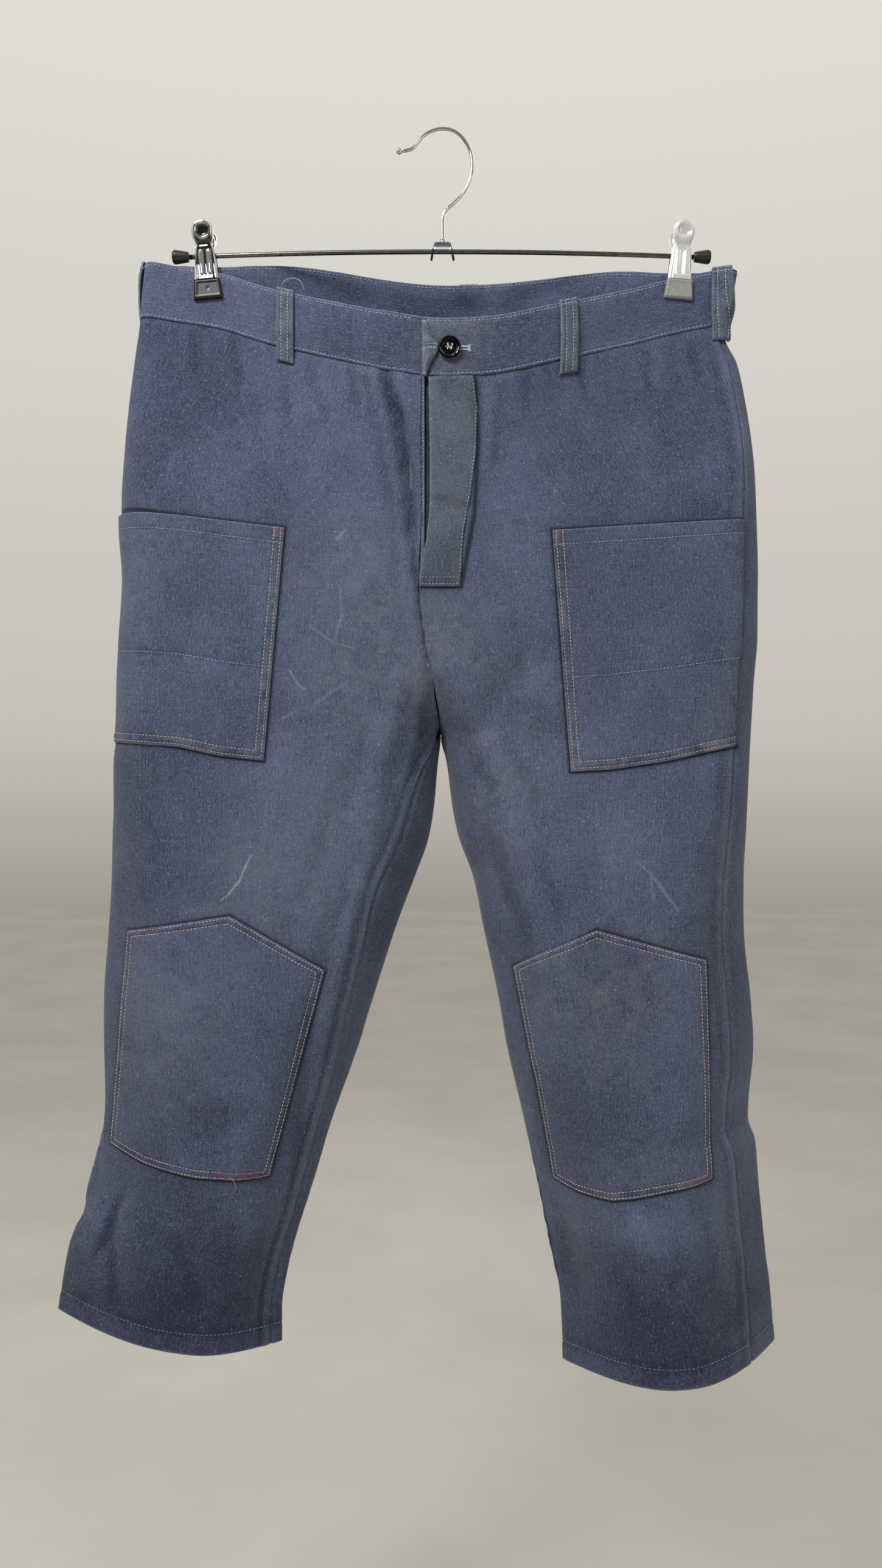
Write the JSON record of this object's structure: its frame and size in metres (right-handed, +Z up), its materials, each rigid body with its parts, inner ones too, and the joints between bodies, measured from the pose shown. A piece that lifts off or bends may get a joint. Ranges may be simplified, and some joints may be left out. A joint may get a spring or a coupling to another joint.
{
  "type": "work trousers on a clip hanger",
  "caption": "Work trousers with patch pockets and knee patches, hanging by the waistband from a metal clip hanger",
  "frame": {"origin": "inner top of the hanger's hook, where a chain or rail carries it", "axes": "+Z up, the front of the trousers faces -Y, and the wearer's right leg is at -X"},
  "size_m": [0.5385, 0.1031, 0.9299],
  "materials": {
    "cloth_panels": "faded indigo twill",
    "cloth_waistband": "faded indigo twill",
    "cloth_pockets": "faded indigo twill",
    "cloth_knees": "faded indigo twill",
    "cloth_fly": "worn grey-blue twill",
    "cloth_loops": "faded indigo twill",
    "button_metal": "dark antique",
    "hook_wire": "polished",
    "hanger_chrome": "polished",
    "hanger_bar": "polished",
    "clip_steel": "polished pressed steel",
    "clip_springs": "plain",
    "clip_pads": "satin",
    "hanger_black": "satin"
  },
  "bodies": {
    "root": {"right_front": "cloth_panels", "left_front": "cloth_panels", "right_back": "cloth_panels", "left_back": "cloth_panels", "waistband": "cloth_waistband", "waistband_end": "cloth_fly", "fly_placket": "cloth_fly", "fly_underlap": "cloth_fly", "right_pocket": "cloth_pockets", "left_pocket": "cloth_pockets", "right_knee_patch": "cloth_knees", "left_knee_patch": "cloth_knees", "loop_right_side": "cloth_loops", "loop_right_front": "cloth_loops", "loop_left_front": "cloth_loops", "loop_left_side": "cloth_loops", "loop_back": "cloth_loops", "waist_button": "button_metal", "hanger_hook": "hook_wire", "hanger_bracket": "hanger_chrome", "hanger_bar": "hanger_bar", "bar_end_right": "hanger_black", "bar_end_left": "hanger_black", "right_clip_front": "clip_steel", "right_clip_back": "clip_steel", "right_pad_front": "clip_pads", "right_pad_back": "clip_pads", "right_clip_spring": "clip_springs", "left_clip_front": "clip_steel", "left_clip_back": "clip_steel", "left_pad_front": "clip_pads", "left_pad_back": "clip_pads", "left_clip_spring": "clip_springs"}
  },
  "joints": []
}
